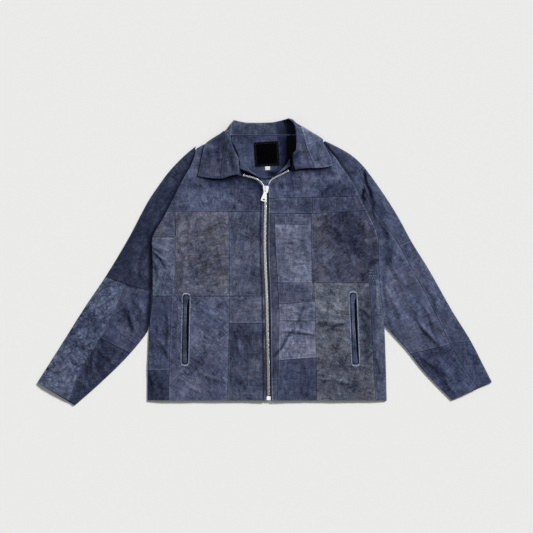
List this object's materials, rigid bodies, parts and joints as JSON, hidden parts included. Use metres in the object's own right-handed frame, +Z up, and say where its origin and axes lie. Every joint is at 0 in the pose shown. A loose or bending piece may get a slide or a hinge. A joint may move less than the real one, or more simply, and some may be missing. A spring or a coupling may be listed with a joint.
{
  "type": "zip-front jacket",
  "caption": "Collared zip-front work jacket pieced from boro patches in worn indigo and mud dyes, laid flat with the front up and the neck of the zip open.",
  "frame": {"origin": "centre of the jacket's outline on the surface it lies on, at the level of that surface", "axes": "+X towards the sleeve worn on the left arm (right as seen from above), +Y from the hem towards the collar, +Z up off the surface, out of the front"},
  "size_m": [1.1355, 0.7162, 0.025],
  "materials": {
    "indigo": "patched cotton, sun-faded indigo over a mud dye, fine crinkled mottling",
    "deep_indigo": "patched cotton, darker indigo, fine crinkled mottling",
    "pale_indigo": "patched cotton, pale worn indigo, fine crinkled mottling",
    "mud": "patched cotton, grey-brown mud dye over indigo",
    "dark_mud": "patched cotton, dark brown-black mud dye over indigo",
    "grey_mud": "patched cotton, grey mud dye with brown-black stains",
    "back_indigo": "plain indigo cotton, washed",
    "plain_lining": "plain woven indigo cotton, unlined side",
    "zip_tape": "woven slate tape, washed with the jacket",
    "zip_metal": "polished nickel-plated brass",
    "label_black": "black woven label, left bare",
    "label_white": "white printed tag, left bare"
  },
  "bodies": {
    "jacket": {"back": "back_indigo", "collar_behind_neck": "back_indigo", "collar_left_inner": "deep_indigo", "collar_left_outer": "indigo", "collar_right_corner": "indigo", "collar_right_inner": "pale_indigo", "collar_right_outer": "pale_indigo", "collar_stand_back": "indigo", "collar_stand_left": "deep_indigo", "collar_stand_right": "deep_indigo", "front_left_armhole_patch": "mud", "front_left_chest_indigo": "indigo", "front_left_chest_mud": "mud", "front_left_pocket_panel": "indigo", "front_left_side_chest": "pale_indigo", "front_left_side_lower": "deep_indigo", "front_left_side_upper": "indigo", "front_left_yoke": "indigo", "front_left_zip_lower": "deep_indigo", "front_left_zip_upper": "pale_indigo", "front_right_chest_mud": "dark_mud", "front_right_chest_pale": "pale_indigo", "front_right_hem_indigo": "deep_indigo", "front_right_narrow_strip": "indigo", "front_right_pocket_panel": "grey_mud", "front_right_row_inner": "deep_indigo", "front_right_row_outer": "indigo", "front_right_side": "pale_indigo", "front_right_waist_indigo": "indigo", "front_right_waist_pale_lower": "pale_indigo", "front_right_waist_pale_upper": "pale_indigo", "front_right_yoke": "indigo", "front_right_zip_strip": "deep_indigo", "lapel_facing_left": "pale_indigo", "lapel_facing_right": "pale_indigo", "lapel_tape_left": "zip_tape", "lapel_tape_right": "zip_tape", "neck_facing": "plain_lining", "neck_label": "label_black", "pocket_left": "indigo", "pocket_right": "grey_mud", "size_tag": "label_white", "sleeve_left_cuff": "deep_indigo", "sleeve_left_forearm_inner": "indigo", "sleeve_left_forearm_outer": "pale_indigo", "sleeve_left_underside": "back_indigo", "sleeve_left_upper": "deep_indigo", "sleeve_right_cuff_inner": "deep_indigo", "sleeve_right_cuff_outer": "indigo", "sleeve_right_inner": "pale_indigo", "sleeve_right_lower_outer": "indigo", "sleeve_right_shoulder": "indigo", "sleeve_right_underside": "back_indigo", "sleeve_right_upper_outer": "indigo", "zip_box": "zip_metal", "zip_slider": "zip_metal", "zip_tape_left": "zip_tape", "zip_tape_right": "zip_tape"},
    "zip_pull_tab": {"zip_pull": "zip_metal"}
  },
  "joints": [
    {"name": "pull_hinge", "type": "hinge", "parent": "jacket", "child": "zip_pull_tab", "pos_m": [0.00361, 0.181, 0.00855], "axis": [-0.9781, 0.2079, 0], "range_deg": [0, 165]}
  ]
}
